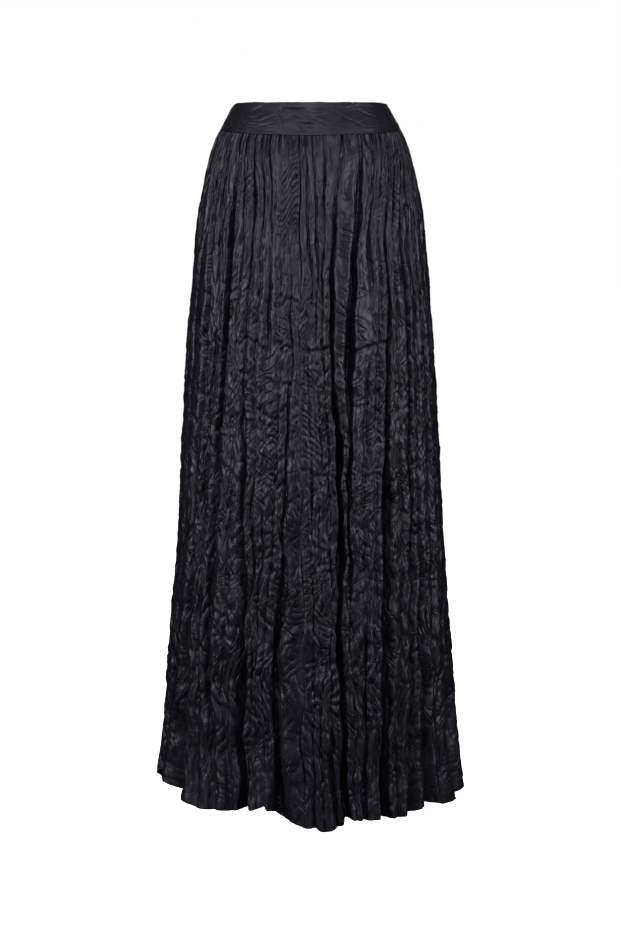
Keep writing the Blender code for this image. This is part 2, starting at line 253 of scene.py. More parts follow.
# Places where the crinkles run round in nested rings
ROSETTE_COLUMNS = ("degrees", "drop", "width", "height", "rings")
ROSETTES = (
    (-15, 476, 24, 32, 4),
    (-37, 479, 20, 30, 3.5),
    (-18, 545, 20, 24, 3),
    (3, 330, 18, 26, 3),
    (-12, 322, 16, 24, 3),
    (2, 494, 22, 30, 4),
    (21, 580, 22, 28, 4),
    (33, 470, 18, 28, 3),
    (-48, 400, 18, 30, 3),
    (-5, 640, 20, 28, 3.5),
    (50, 500, 18, 30, 3),
    (112, 430, 22, 30, 4),
    (131, 560, 22, 32, 4),
    (150, 400, 20, 28, 3.5),
    (169, 520, 24, 32, 4),
    (192, 420, 22, 30, 3.5),
    (207, 600, 22, 30, 4),
    (229, 470, 22, 32, 4),
    (250, 560, 20, 30, 3.5),
)

# Upright lines from which curved creases run down and away, and how far to each side of the wearer
FEATHER_COLUMNS = (
    "degrees", "from_drop", "to_drop", "right_reach", "left_reach", "drop_by", "spacing", "depth",
)
FEATHERS = (
    (-5.5, 58, 196, 62, 1, 58, 10.5, 2.3),
    (-31, 85, 160, 34, 26, 34, 10, 1.7),
    (-4.5, 425, 530, 1, 44, 44, 10, 1.8),
    (48, 110, 190, 34, 34, 36, 10, 1.7),
    (36, 390, 460, 30, 26, 36, 9.5, 1.7),
    (-24, 300, 340, 24, 24, 26, 9, 1.6),
    (2, 284, 330, 1, 40, 34, 9, 1.8),
    (-3, 372, 430, 1, 34, 34, 9, 1.6),
    (120, 90, 190, 40, 40, 50, 11, 1.9),
    (154, 300, 400, 30, 34, 50, 11, 1.9),
    (183, 430, 540, 1, 50, 50, 11, 1.9),
    (212, 110, 200, 40, 34, 50, 11, 1.9),
)

# Points from which small creases run out like a star
STAR_COLUMNS = ("degrees", "drop", "radius", "spokes", "depth")
STARS = (
    (6, 884, 38, 9, 3.6),
    (-4, 820, 26, 8, 2.6),
    (2, 828, 26, 7, 2.6),
    (-13, 848, 28, 8, 2.4),
    (17, 1032, 28, 9, 3.0),
    (-22, 965, 30, 7, 2.4),
    (35, 1007, 26, 7, 2.6),
    (-20, 540, 22, 10, 2.4),
    (3, 540, 22, 10, 2.4),
    (27, 540, 22, 10, 2.4),
    (42, 665, 26, 9, 2.4),
    (32, 795, 28, 8, 2.4),
    (-25, 730, 26, 8, 2.4),
    (14, 727, 24, 9, 2.2),
    (-47, 618, 24, 8, 2.2),
    (52, 880, 28, 8, 2.4),
    (-45, 900, 28, 8, 2.4),
    (-60, 760, 26, 8, 2.2),
    (62, 720, 26, 8, 2.2),
    (108, 880, 30, 8, 2.8),
    (126, 740, 28, 9, 2.6),
    (148, 850, 30, 8, 2.8),
    (163, 700, 26, 9, 2.4),
    (176, 930, 30, 8, 2.8),
    (199, 780, 28, 9, 2.6),
    (214, 900, 30, 8, 2.8),
    (236, 800, 28, 8, 2.6),
    (255, 920, 28, 8, 2.6),
)


# The cloth's form, as the solids have it


def named_rows(columns, table):
    """The rows of a table, whose values go by the names of its columns."""
    return [SimpleNamespace(**dict(zip(columns, row))) for row in table]


def smooth_rows(levels, table, places):
    """Each place's row of a table given at some levels, on a smooth curve through its rows."""
    levels = np.asarray(levels, float)
    table = np.asarray(table, float)
    slopes = np.gradient(table, levels, axis=0)
    upper = np.clip(np.searchsorted(levels, places, side="right") - 1, 0, len(levels) - 2)
    span = (levels[upper + 1] - levels[upper])[:, None]
    t = ((places - levels[upper])[:, None]) / span
    start = table[upper] * (1 + 2 * t) * (1 - t) ** 2 + slopes[upper] * span * t * (1 - t) ** 2
    end = table[upper + 1] * (3 - 2 * t) * t**2 - slopes[upper + 1] * span * t**2 * (1 - t)
    return start + end


def back_fold(number):
    """Angles and depths of one valley behind, counted from the left side seam to the right one."""
    gaps = BACK_FOLDS_A_SIDE + 1
    middle = 90 + 90 * number / gaps
    at_centre = number == gaps
    sway = 0 if at_centre else BACK_WANDER
    angles = [middle + sway * math.sin(2.3 * number + 0.9 * level) for level in range(len(FOLD_DROPS))]
    if at_centre:
        return angles, list(CENTRE_BACK)
    depths = BACK_DEEP if number % 3 == 1 else BACK_SHALLOW
    unevenness = 1 + 0.25 * math.sin(1.7 * number)
    return angles, [depth * unevenness for depth in depths]


def fold_table():
    """Angles, depths and hem rises of all valleys, once round the skirt and back to the start."""
    angle_columns = slice(FOLD_COLUMNS.index("seam"), FOLD_COLUMNS.index("hem") + 1)
    depth_columns = slice(FOLD_COLUMNS.index("seam_mm"), FOLD_COLUMNS.index("hem_mm") + 1)
    rise_column = FOLD_COLUMNS.index("hem_rise")
    angles = [row[angle_columns] for row in FRONT_FOLDS]
    depths = [row[depth_columns] for row in FRONT_FOLDS]
    rises = [row[rise_column] for row in FRONT_FOLDS]
    for number in range(1, 2 * (BACK_FOLDS_A_SIDE + 1)):
        behind = back_fold(number)
        angles.append(behind[0])
        depths.append(behind[1])
        rises.append(BACK_RISE * math.sin(1.9 * number))
    angles.append([angle + 360 for angle in angles[0]])
    depths.append(depths[0])
    rises.append(rises[0])
    return np.array(angles, float).T, np.array(depths, float).T, np.array(rises, float)


FOLD_ANGLES, FOLD_DEPTHS, HEM_RISES = fold_table()
FOLD_NAMES = [row[0] for row in FRONT_FOLDS]
SIDE_RIGHT = FOLD_NAMES.index("side_right")
CENTRE_FRONT = FOLD_NAMES.index("centre_front")
SIDE_LEFT = FOLD_NAMES.index("side_left")
CENTRE_BACK_FOLD = SIDE_LEFT + BACK_FOLDS_A_SIDE + 1
LAST_FOLD = CENTRE_BACK_FOLD + BACK_FOLDS_A_SIDE + 1


def section(drops):
    """Half width, half depth and centre of the oval at each drop, in metres."""
    table = np.array(SECTIONS, float)
    levels = table[:, SECTION_COLUMNS.index("drop")]
    sizes = table[:, SECTION_COLUMNS.index("half_width") :]
    rows = smooth_rows(levels, sizes, drops / MM) * MM
    return rows[:, 0:1], rows[:, 1:2], rows[:, 2:3]


def on_section(degrees, inset, drops):
    """Points at an angle from the centre front on each drop's oval, moved in square to its surface."""
    half_width, half_depth, centre = section(drops)
    angle = np.radians(degrees)
    across, along = half_depth * np.sin(angle), -half_width * np.cos(angle)
    length = np.hypot(across, along)
    above, below = section(drops - MM), section(drops + MM)
    wider, deeper, further = [(low - high) / (2 * MM) for high, low in zip(above, below)]
    flare = (wider * np.sin(angle) * across + (further - deeper * np.cos(angle)) * along) / length
    inward = inset / np.hypot(1, flare)
    x = half_width * np.sin(angle) - inward * across / length
    y = centre - half_depth * np.cos(angle) - inward * along / length
    z = BAND_HEIGHT / 2 - drops[:, None] - inward * flare
    return np.stack([x, y, z], axis=-1)


def band_dip(degrees):
    """How far the waistband's lower edge hangs below 45 mm: down at the centre, up at the sides."""
    return (2.5 - 6 * np.sin(np.radians(degrees)) ** 2) * MM


def over_zip(waves, level):
    """1 on the cloth that lies over the zip, where it is smooth, and 0 away from it."""
    beside = ease(1.3, 0.7, np.abs(waves - CENTRE_BACK_FOLD))
    return beside * ease(ZIP_BOTTOM + 22, ZIP_BOTTOM + 4, level)


def skirt_form(waves, drops):
    """Degrees, inset and hem lift of the gathered cloth. waves counts valleys from the right side."""
    before = np.minimum(waves.astype(int), LAST_FOLD - 1)
    t = waves - before
    leaning = t - CREST_LEAN * np.sin(2 * math.pi * t)
    angles = smooth_rows(FOLD_DROPS, FOLD_ANGLES, drops / MM)
    depths = smooth_rows(FOLD_DROPS, FOLD_DEPTHS, drops / MM)
    number, level = np.meshgrid(np.arange(LAST_FOLD + 1), drops / MM)
    broken = 1 + 1.3 * wander(number * 3.71, level / 88, 3)
    broken[:, LAST_FOLD] = broken[:, SIDE_RIGHT]
    deep = ease(6, 13, depths)
    depths *= deep + (1 - deep) * broken * (1 - SHALLOW_LOSS * ease(120, 330, level))
    depths *= 1 + 0.75 * wander(number * 5.17, level / 105, 6) * deep
    uneven = np.clip(0.7 + 1.9 * wander(number * 2.31, level / 70, 7), 0.1, 2)
    floor = DEEP_FLOOR * ease(12, 25, depths) * ease(230, 420, level) * uneven
    shoulder = 0.7 + 0.25 * ease(420, 800, level[:, :1])
    degrees = angles[:, before] * (1 - leaning) + angles[:, before + 1] * leaning
    from_side = np.minimum(np.abs(waves - SIDE_LEFT), np.minimum(waves, LAST_FOLD - waves))
    across, level = np.meshgrid(waves, drops / MM)
    sway = 1.7 * wander(across / 1.7, level / 70, 4) + 2.2 * wander(across / 2.6, level / 150, 8)
    degrees += sway * ease(0, 2, from_side) * ease(45, 160, level)
    inset = 0
    for fold, away in ((before, 2 * t), (before + 1, 2 - 2 * t)):
        soft = np.clip(1 - away, 0, 1) ** VALLEY_POWER
        steep = 1 - ease(0, 1, (away - floor[:, fold]) / shoulder)
        share = deep[:, fold]
        inset = inset + depths[:, fold] * MM * (soft * (1 - share) + (1 + DEEPER) * steep * share)
    fading = np.clip(1 - (drops - BAND_HEIGHT) / (GATHER_END - BAND_HEIGHT), 0, 1)
    feathered = ease(3.0, 2.2, np.abs(CENTRE_FRONT - 0.1 - across)) * (across < CENTRE_FRONT)
    calm = np.maximum(feathered * ease(60, 85, level), over_zip(across, level))
    pinch = ((1 + np.cos(4 * math.pi * t + 2.4 * wander(across / 1.3, level / 110, 9))) / 2) ** 1.5
    gathers = GATHER_DEPTH * pinch * (1 + 1.1 * wander(across * 1.9, level / 60, 5)) * (1 - 0.9 * calm)
    gathers -= PUFF * (1 - pinch) * np.exp(-(((level - 54) / 9) ** 2))
    rise = (HEM_RISES[before] * (1 - t) + HEM_RISES[before + 1] * t) * MM
    rising = np.clip((drops - RISE_START) / (SKIRT_LENGTH - RISE_START), 0, 1) ** 2
    return degrees, inset + fading[:, None] * gathers + SEAM_GAP, rising[:, None] * rise


# Relief of the crushed cloth, in millimetres over flat cloth coordinates in millimetres


def wander(x, y, seed):
    """Smooth noise between about -0.7 and 0.7, with one wave to each unit."""
    turns = np.random.default_rng(seed).random((128, 128)) * 2 * math.pi
    left, low = np.floor(x).astype(int), np.floor(y).astype(int)
    fx, fy = x - left, y - low

    def corner(i, j):
        turn = turns[(left + i) % 128, (low + j) % 128]
        return np.cos(turn) * (fx - i) + np.sin(turn) * (fy - j)

    ease_x = fx**3 * (fx * (6 * fx - 15) + 10)
    ease_y = fy**3 * (fy * (6 * fy - 15) + 10)
    bottom = corner(0, 0) * (1 - ease_x) + corner(1, 0) * ease_x
    top = corner(0, 1) * (1 - ease_x) + corner(1, 1) * ease_x
    return bottom * (1 - ease_y) + top * ease_y


def ease(low, high, value):
    """A smooth rise from 0 at low to 1 at high."""
    t = np.clip((value - low) / (high - low), 0, 1)
    return t * t * (3 - 2 * t)


def drawn_out(v):
    """Drops shrunk where the crinkles run more upright than across."""
    return np.interp(v, (0, 280, 340, 540, 680, 1072), (0, 150, 195, 380, 475, 675))


def slanting(u, v, lean, seed):
    """Creases some 10 mm apart that lean from the upright: 0 in them, 1 between."""
    across = u * math.cos(lean) + v * math.sin(lean)
    along = v * math.cos(lean) - u * math.sin(lean)
    wide = np.abs(wander(across / 15, along / 48, seed))
    narrow = np.abs(wander(across / 10, along / 30, seed + 1))
    return 0.6 * ease(0, 0.28, wide) + 0.4 * ease(0, 0.3, narrow)


def crushed(u, v):
    """Crinkles all over the cloth, 0 to 1, that lean to one side here and to the other there."""
    v = drawn_out(v)
    bend_u = u + 11 * wander(u / 42, v / 44, 11) + 3 * wander(u / 15, v / 17, 13)
    bend_v = v + 11 * wander(u / 45, v / 55, 12) + 3 * wander(u / 16, v / 18, 14)
    share = ease(-0.08, 0.08, wander(u / 34, v / 46, 41))
    slants = slanting(bend_u, bend_v, math.radians(42), 21) * share
    slants += slanting(bend_u, bend_v, math.radians(-42), 25) * (1 - share)
    uneven = 0.35 + 0.65 * ease(-0.3, 0.3, wander(u / 30, v / 44, 42))
    return uneven * slants


def streaked(u, v):
    """Long upright creases between the folds, 0 to 1."""
    sway = u + 7 * wander(u / 50, v / 110, 51) + 2.5 * wander(u / 20, v / 30, 54)
    long = np.abs(wander(sway / 17, v / 150, 52))
    short = np.abs(wander(sway / 11, v / 70, 53))
    return 0.6 * ease(0, 0.16, long) + 0.4 * ease(0, 0.18, short)


def faceted(u, v):
    """Tilted faces of about 14 by 54 mm with soft creases between them, about 0 to 1."""
    chance = np.random.default_rng(61).random((4, 128, 128))
    x = u / 14 + 2.6 * wander(u / 60, v / 74, 62) + 0.3 * wander(u / 12, v / 16, 65)
    y = v / 54 + 1.0 * wander(u / 38, v / 70, 63) + 0.2 * wander(u / 13, v / 17, 66)
    left, low = np.floor(x).astype(int), np.floor(y).astype(int)
    nearest = np.full(x.shape, 9.0)
    second = nearest.copy()
    tilt = np.zeros(x.shape)
    for i in (-1, 0, 1):
        for j in (-1, 0, 1):
            place = (left + i) % 128, (low + j) % 128
            dx = left + i + 0.1 + 0.8 * chance[0][place] - x
            dy = low + j + 0.1 + 0.8 * chance[1][place] - y
            gap = np.hypot(dx, dy)
            lean = 2 * dx * (chance[2][place] - 0.5) + 1.2 * dy * (chance[3][place] - 0.5)
            closer = gap < nearest
            second = np.where(closer, nearest, np.minimum(second, gap))
            tilt = np.where(closer, lean, tilt)
            nearest = np.where(closer, gap, nearest)
    border = ease(0, 0.42, second - nearest)
    return border * (0.75 + 0.9 * tilt)


def swollen(u, v):
    """Broad soft rises and hollows that catch the light, about -1 to 1."""
    return 0.6 * wander(u / 28, v / 80, 71) + 0.8 * wander(u / 55, v / 150, 72)


def relief_heights(drops):
    """Height of each kind of relief at each drop, a column each."""
    table = np.array(RELIEF, float)
    levels = table[:, RELIEF_COLUMNS.index("drop")]
    rows = smooth_rows(levels, table[:, RELIEF_COLUMNS.index("crush") :], drops / MM)
    return rows.T[:, :, None]


def crease_relief(u, v, spot, creases, half_width, wobble_size):
    """Pressed creases from a table. spot turns degrees and a drop into cloth coordinates."""
    total = np.zeros_like(u)
    for crease in named_rows(CREASE_COLUMNS, creases):
        start = spot(crease.from_degrees, crease.from_drop)
        end = spot(crease.to_degrees, crease.to_drop)
        if start is None or end is None:
            continue
        run = np.array(end) - np.array(start)
        length = math.hypot(*run)
        along = ((u - start[0]) * run[0] + (v - start[1]) * run[1]) / length
        level = v * 0 + crease.from_drop
        wobble = wobble_size * (wander(u / 21, level, 81) + 0.4 * wander(u / 9, level, 82))
        aside = ((v - start[1]) * run[0] - (u - start[0]) * run[1]) / length + wobble
        ends = ease(-5, 5, along) * ease(-5, 5, length - along)
        uneven = 0.8 + 0.9 * wander(u / 17, v * 0 + crease.to_drop, 83)
        trough = np.exp(-((aside / half_width) ** 2))
        lip = 0.3 * np.exp(-((aside / half_width + 2.9) ** 2) / 5.6)
        total -= crease.depth * (ends * uneven) * (trough - lip)
    return total


def rosette_relief(height, u, v, spot):
    """The relief with nested rings in place of it where the table has them."""
    for rosette in named_rows(ROSETTE_COLUMNS, ROSETTES):
        centre = spot(rosette.degrees, rosette.drop)
        if centre is None:
            continue
        du, dv = (u - centre[0]) / rosette.width, (v - centre[1]) / rosette.height
        du, dv = du + 0.45 * wander(u / 17, v / 20, 91), dv + 0.45 * wander(u / 17, v / 20, 92)
        reach = 0.6 * np.hypot(du, dv) + 0.4 * (np.abs(du) + np.abs(dv))
        phase = math.pi * rosette.rings * reach + 1.5 * wander(u / 9, v / 11, 93)
        ring = 1.9 * ease(0, 0.75, np.abs(np.sin(phase)))
        share = ease(0, 0.35, 1 - reach)
        height = height * (1 - share) + ring * share
    return height


def star_relief(height, u, v, spot):
    """The relief with small creases that run out from a point where the table has them."""
    for star in named_rows(STAR_COLUMNS, STARS):
        centre = spot(star.degrees, star.drop)
        if centre is None:
            continue
        du, dv = u - centre[0], v - centre[1]
        reach = np.hypot(du, dv * 0.85) / star.radius
        turn = star.spokes * np.arctan2(dv, du) / (2 * math.pi)
        turn += 0.9 * wander(du / 24, dv / 24, 95 + star.spokes)
        face = turn - np.floor(turn)
        ridges = star.depth * np.minimum(face / 0.72, (1 - face) / 0.28) * np.minimum(1.5 * reach, 1)
        share = ease(0, 0.5, 1 - reach)
        height = height * (1 - share) + ridges * share
    return height


def feather_relief(height, u, v, spot):
    """The relief with feathered creases, down and away from an upright line, and where they are."""
    there = np.zeros_like(u)
    for feather in named_rows(FEATHER_COLUMNS, FEATHERS):
        centre = spot(feather.degrees, (feather.from_drop + feather.to_drop) / 2)
        if centre is None:
            continue
        aside = u - centre[0]
        away = np.abs(aside) / np.where(aside < 0, feather.right_reach, feather.left_reach)
        falling = feather.drop_by * away**2
        shifted = 10 * wander(u / 26, v / 30, 99) + 4 * wander(u / 10, v / 13, 98)
        phase = (v - falling + shifted) / feather.spacing
        ridges = feather.depth * ease(0, 0.75, np.abs(np.sin(math.pi * phase)))
        begun = ease(0, 20, v - feather.from_drop - falling)
        going = ease(0, 30, feather.to_drop + falling - v)
        share = ease(0, 0.3, 1 - away) * begun * going
        height = height * (1 - share) + ridges * share
        there = np.maximum(there, share)
    return height, there


def hollowness(height):
    """How far each place lies below those round it, from 0 to 1, used to paint shade into the satin's
    hollows.
    """
    rows, columns = height.shape
    padded = np.pad(height, 3, mode="edge")
    around = sum(padded[i : i + rows, j : j + columns] for i in range(7) for j in range(7)) / 49
    return np.clip((around - height) / 1.3, 0, 1)


# Building meshes


def surface_normals(points):
    """Outward normals of a grid of points, whose rows run down and columns to the wearer's left."""
    down = np.gradient(points, axis=0)
    leftward = np.gradient(points, axis=1)
    normals = np.cross(down, leftward)
    return normals / np.linalg.norm(normals, axis=-1, keepdims=True)


def cloth_grid(name, points, flat_u, flat_v, values, finish):
    """A sheet of cloth through a grid of points. Its UV map is the cloth laid flat, in metres."""
    rows, columns = points.shape[:2]
    mesh = bpy.data.meshes.new(name)
    bm = bmesh.new()
    bmesh.ops.create_grid(bm, x_segments=columns - 1, y_segments=rows - 1, size=0.5)
    bm.to_mesh(mesh)
    bm.free()
    flat = np.empty(len(mesh.vertices) * 3)
    mesh.vertices.foreach_get("co", flat)
    flat = flat.reshape(-1, 3)
    column = np.rint((flat[:, 0] + 0.5) * (columns - 1)).astype(int)
    row = np.rint((0.5 - flat[:, 1]) * (rows - 1)).astype(int)
    mesh.vertices.foreach_set("co", points[row, column].ravel())
    corner = np.empty(len(mesh.loops), dtype=np.int32)
    mesh.loops.foreach_get("vertex_index", corner)
    uv = mesh.uv_layers.new(name="cloth")
    pairs = np.stack([flat_u[row, column], flat_v[row, column]], axis=-1)[corner]
    uv.data.foreach_set("uv", pairs.ravel())
    for label, grid in values.items():
        layer = mesh.attributes.new(label, "FLOAT", "POINT")
        layer.data.foreach_set("value", grid[row, column])
    mesh.shade_smooth()
    mesh.materials.append(finish)
    mesh.update()
    made = bpy.data.objects.new(name, mesh)
    bpy.context.scene.collection.objects.link(made)
    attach(made, "skirt")
    return made


def rolled_edge(edge, outward, beyond, radius, tail):
    """Rows that roll an edge over to the inside and run back a little way."""
    turns = np.radians([30, 60, 90, 120, 150, 180])[:, None, None]
    roll = edge - outward * radius * (1 - np.cos(turns)) + beyond * radius * np.sin(turns)
    back = roll[-1] - beyond * np.array([0.35, 0.7, 1.0])[:, None, None] * tail
    return np.concatenate([roll, back])


def spread(edges, counts):
    """Places from the first edge to the last, with a number of equal steps in each stretch."""
    stretches = []
    for low, high, count in zip(edges, edges[1:], counts):
        stretches.append(np.linspace(low, high, count, endpoint=False))
    return np.concatenate([*stretches, edges[-1:]])


def panel_rows(count):
    """Drops of a panel's rows: closer together where the cloth is crushed most."""
    edges = np.array([45.4, 46.4, 120, 300, 860, 1000, 1072])
    shares = np.array([0.004, 0.086, 0.18, 0.53, 0.12, 0.08])
    return spread(edges, np.rint(shares * count).astype(int)) * MM


def even_waves(first_fold, last_fold, columns):
    """Wave places, half evenly along the cloth at the knee and half by folds, and flat widths."""
    fine = np.linspace(first_fold, last_fold, 4000)
    drops = np.array([0, 1]) * MM + KNEE_DROP
    degrees, inset, _ = skirt_form(fine, drops)
    line = on_section(degrees, inset, drops)[0]
    along = np.concatenate([[0], np.cumsum(np.linalg.norm(np.diff(line, axis=0), axis=-1))])
    evenly = along / along[-1] + (fine - first_fold) / (last_fold - first_fold)
    waves = np.interp(np.linspace(0, 2, columns), evenly, fine)
    return waves, np.interp(waves, fine, along) / MM


def panel_relief(u, v, shift, drops, spot):
    """Relief of a panel's cloth in millimetres, and where its creases are feathered."""
    crush, streak, facet, swell = relief_heights(drops)
    height = crush * crushed(u + shift, v) + facet * faceted(u + shift, v)
    height += streak * streaked(u + shift, v)
    height = star_relief(rosette_relief(height, u, v, spot), u, v, spot)
    height, feathered = feather_relief(height, u, v, spot)
    height += swell * swollen(u + shift, v)
    height += crease_relief(u, v, spot, CREASES, half_width=1.9, wobble_size=12)
    return height, feathered


def with_turnings(points, degrees):
    """A panel's points with two rows more under the waistband, its rolled hem and its turnings."""
    outward = surface_normals(points)
    hidden = np.array(UNDER_BAND_DROPS) * MM
    under_band = on_section(degrees[:1].repeat(len(hidden), axis=0), UNDER_BAND, hidden)
    beyond = points[-1] - points[-3]
    beyond /= np.linalg.norm(beyond, axis=-1, keepdims=True)
    hem = rolled_edge(points[-1], outward[-1], beyond, HEM_ROLL, HEM_BACK)
    whole = np.concatenate([under_band, points, hem])
    across = np.pad(outward, ((len(under_band), len(hem)), (0, 0), (0, 0)), mode="edge")
    turn_in = np.array(TURNING_DEPTHS)[None, :, None] * MM
    share = np.array([1.0, 0.3])[None, :, None]
    from_first = (whole[:, 3:4] - whole[:, :1]) * 0.12
    from_last = (whole[:, -4:-3] - whole[:, -1:]) * 0.12
    first = whole[:, :1] - across[:, :1] * turn_in + from_first * share
    last = whole[:, -1:] - across[:, -1:] * turn_in[:, ::-1] + from_last * share[:, ::-1]
    return np.concatenate([first, whole, last], axis=1)


def skirt_panel(name, first_fold, last_fold, flat_size, flat_area, band, finish):
    """One gathered panel with its crushed relief, its rolled hem and the turnings at its seams."""
    waves, flat = even_waves(first_fold, last_fold, PANEL_COLUMNS)
    drops = panel_rows(PANEL_ROWS)
    degrees, inset, rise = skirt_form(waves, drops)
    points = on_section(degrees, inset, drops)
    points[:, :, 2] += rise - band_dip(degrees) * ease(130, 45, drops / MM)[:, None]
    steps = np.linalg.norm(np.diff(points, axis=1, prepend=points[:, :1]), axis=-1)
    along = np.cumsum(steps, axis=1) / MM
    middle = PANEL_COLUMNS // 2
    followed = flat[middle] + along - along[:, middle : middle + 1]
    v = np.tile(drops[:, None] / MM, (1, PANEL_COLUMNS))
    u = flat + (followed - flat) * ease(560, 760, v)
    shift = PANEL_SHIFT * first_fold

    def spot(at_degrees, at_drop):
        """Cloth coordinates of a place on this panel, or None where it lies on another one."""
        row = min(np.searchsorted(drops, at_drop * MM), len(drops) - 1)
        line, place = degrees[row], u[row]
        if not line[0] - 6 <= at_degrees <= line[-1] + 6:
            return None
        ends = [line[0] - 6, *line, line[-1] + 6]
        return np.interp(at_degrees, ends, [place[0] - 20, *place, place[-1] + 20]), float(at_drop)

    height, feathered = panel_relief(u, v, shift, drops, spot)
    seam = np.minimum(flat, flat[-1] - flat)
    height = (height - height.mean()) * ease(0, 8, seam) * ease(44, 56, v)
    height *= 1 - 0.75 * over_zip(waves, v)
    points = points + surface_normals(points) * height[:, :, None] * MM
    whole = with_turnings(points, degrees)

    added_rows = 2, len(HEM_STEPS)
    full_v = np.concatenate([[39, 43], drops / MM, drops[-1] / MM + np.array(HEM_STEPS)])
    full_u = np.concatenate([u[:, :1] - [7, 2.5], u, u[:, -1:] + [2.5, 7]], axis=1) + shift
    flat_u = np.pad(full_u, (added_rows, (0, 0)), mode="edge") * MM
    flat_v = np.tile(full_v[:, None] * MM, (1, flat_u.shape[1]))
    crush, _, facet, _ = relief_heights(drops)
    shares = {
        "crush": np.clip(crush / 2.2, 0.15, 1) * np.ones_like(u),
        "facet": facet / 2.4 * np.ones_like(u),
        "gather": ease(260, 60, v) * (1 - feathered),
        # painted shade: the satin darkens its colour and shine where the cloth lies below the cloth
        # round it
        "hollow_shade": hollowness(height),
    }
    values = {label: np.pad(share, (added_rows, (2, 2)), mode="edge") for label, share in shares.items()}
    made = cloth_grid(name + "_cloth", whole, flat_u, flat_v, values, finish)
    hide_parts(name)
    return made


def band_relief(degrees, drops):
    """Soft hollows and some flat creases along the band, in millimetres."""
    along, level = degrees * BAND_MM_A_DEGREE, drops / MM

    def spot(at_degrees, at_drop):
        """Cloth coordinates of a place on the band."""
        return at_degrees * BAND_MM_A_DEGREE, at_drop

    sway = level + 4 * wander(along / 38, level / 24, 101)
    lines = np.abs(wander(along / 46, sway / 9, 102))
    soft = 1.3 * wander(along / 40, level / 24, 104) + 0.5 * wander(along / 14, level / 9, 105)
    inside = ease(1, 8, level) * ease(-44.5, -38, -level)
    creases = 1.3 * crease_relief(along, level, spot, BAND_CREASES, half_width=1.2, wobble_size=2.4)
    return inside * (0.5 * ease(0, 0.08, lines) - 0.5 + soft) + creases


def band_piece(name, start, end, columns, finish):
    """One waistband piece, folded over at its top edge, from its inner edge to its outer one."""
    degrees = np.linspace(start, end, columns)
    outer = np.concatenate([np.linspace(1.4, 44, 48), [44.6, 45]]) * MM
    inner = np.array([45, 38, 30, 22, 14, 7, 1.4]) * MM
    from_seam = np.minimum(degrees - start, end - degrees)
    grid = np.tile(degrees, (len(outer), 1))
    relief = band_relief(grid, np.tile(outer[:, None], (1, columns))) * ease(0, 3, from_seam)
    relief -= 0.4 * ease(1.2, 0, from_seam)
    face = on_section(grid, -relief * MM, outer)
    face[:, :, 2] -= band_dip(grid) * (outer / outer[-1])[:, None]
    lining = on_section(grid[: len(inner)], BAND_WALL, inner)
    turns = np.radians([150, 120, 90, 60, 30])
    radius = BAND_WALL / 2
    top_drops = 1.4 * MM - np.sin(turns) * radius * 1.1
    top_inset = radius * (1 - np.cos(turns))
    rim = on_section(grid[: len(turns)], top_inset[:, None], top_drops)
    under = on_section(grid[:2], np.array([[0.6], [1.6]]) * MM, np.array([45.2, 45.2]) * MM)
    under[:, :, 2] -= band_dip(grid[:2])
    whole = np.concatenate([lining, rim, face, under])
    aside = np.abs(np.sin(np.radians(degrees)))
    edge = 0.9 * wander(degrees / 13, degrees * 0, 106) * ease(0, 3, from_seam)
    edge -= 1.4 * ease(0.8, 1, aside) + 1.4 * ease(0.95, 1, aside)
    near_top = [ease(12, 0, inner / MM), np.ones(len(turns)), ease(14, 0, outer / MM), [0, 0]]
    whole[:, :, 2] += np.concatenate(near_top)[:, None] * edge * MM
    down = np.concatenate([-inner, top_drops, outer, [0.0458, 0.0468]])
    flat_v = np.tile(down[:, None], (1, columns))
    flat_u = np.tile(np.radians(degrees) * BAND_RADIUS, (len(down), 1))
    before, after = len(inner) + len(rim), len(under)
    # painted shade: the band's satin darkens its colour and shine in the hollows of its relief
    hollow_shade = np.pad(1.6 * hollowness(relief), ((before, after), (0, 0)))
    values = {"crush": np.full(flat_u.shape, 0.18), "hollow_shade": np.minimum(hollow_shade, 1)}
    made = cloth_grid(name + "_cloth", whole, flat_u, flat_v, values, finish)
    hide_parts(name)
    return made


def zip_path(drops, inset_more):
    """Points down the inside of the centre back at drops in millimetres, behind the tape's face."""
    drops = drops * MM
    levels = np.maximum(drops / MM, FOLD_DROPS[0])
    seam = smooth_rows(FOLD_DROPS, FOLD_DEPTHS, levels)[:, CENTRE_BACK_FOLD] * MM
    cloth = np.maximum(seam + CLOTH_WALL + SOLID_GATHERS, BAND_WALL + SEAM_GAP)
    inset = cloth + 3 * SEAM_GAP + inset_more
    return on_section(np.full((len(drops), 1), 180.0), inset[:, None], drops)[:, 0]


def small_blocks(name, size, rounding, places, finish):
    """Small rounded blocks of one size at some places, joined in one mesh."""
    one = bpy.data.meshes.new(name + "_one")
    bm = bmesh.new()
    bmesh.ops.create_cube(bm, size=1.0)
    bmesh.ops.scale(bm, vec=[side * MM for side in size], verts=bm.verts)
    bmesh.ops.bevel(
        bm,
        geom=list(bm.edges),
        offset=rounding * MM,
        segments=1,
        profile=0.5,
        affect="EDGES",
        material=-1,
    )
    bm.to_mesh(one)
    bm.clear()
    for place in places:
        start = len(bm.verts)
        bm.from_mesh(one)
        bm.verts.ensure_lookup_table()
        bmesh.ops.translate(bm, vec=place, verts=bm.verts[start:])
    mesh = bpy.data.meshes.new(name)
    bm.to_mesh(mesh)
    bm.free()
    bpy.data.meshes.remove(one)
    mesh.materials.append(finish)
    made = bpy.data.objects.new(name, mesh)
    bpy.context.scene.collection.objects.link(made)
    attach(made, "skirt")


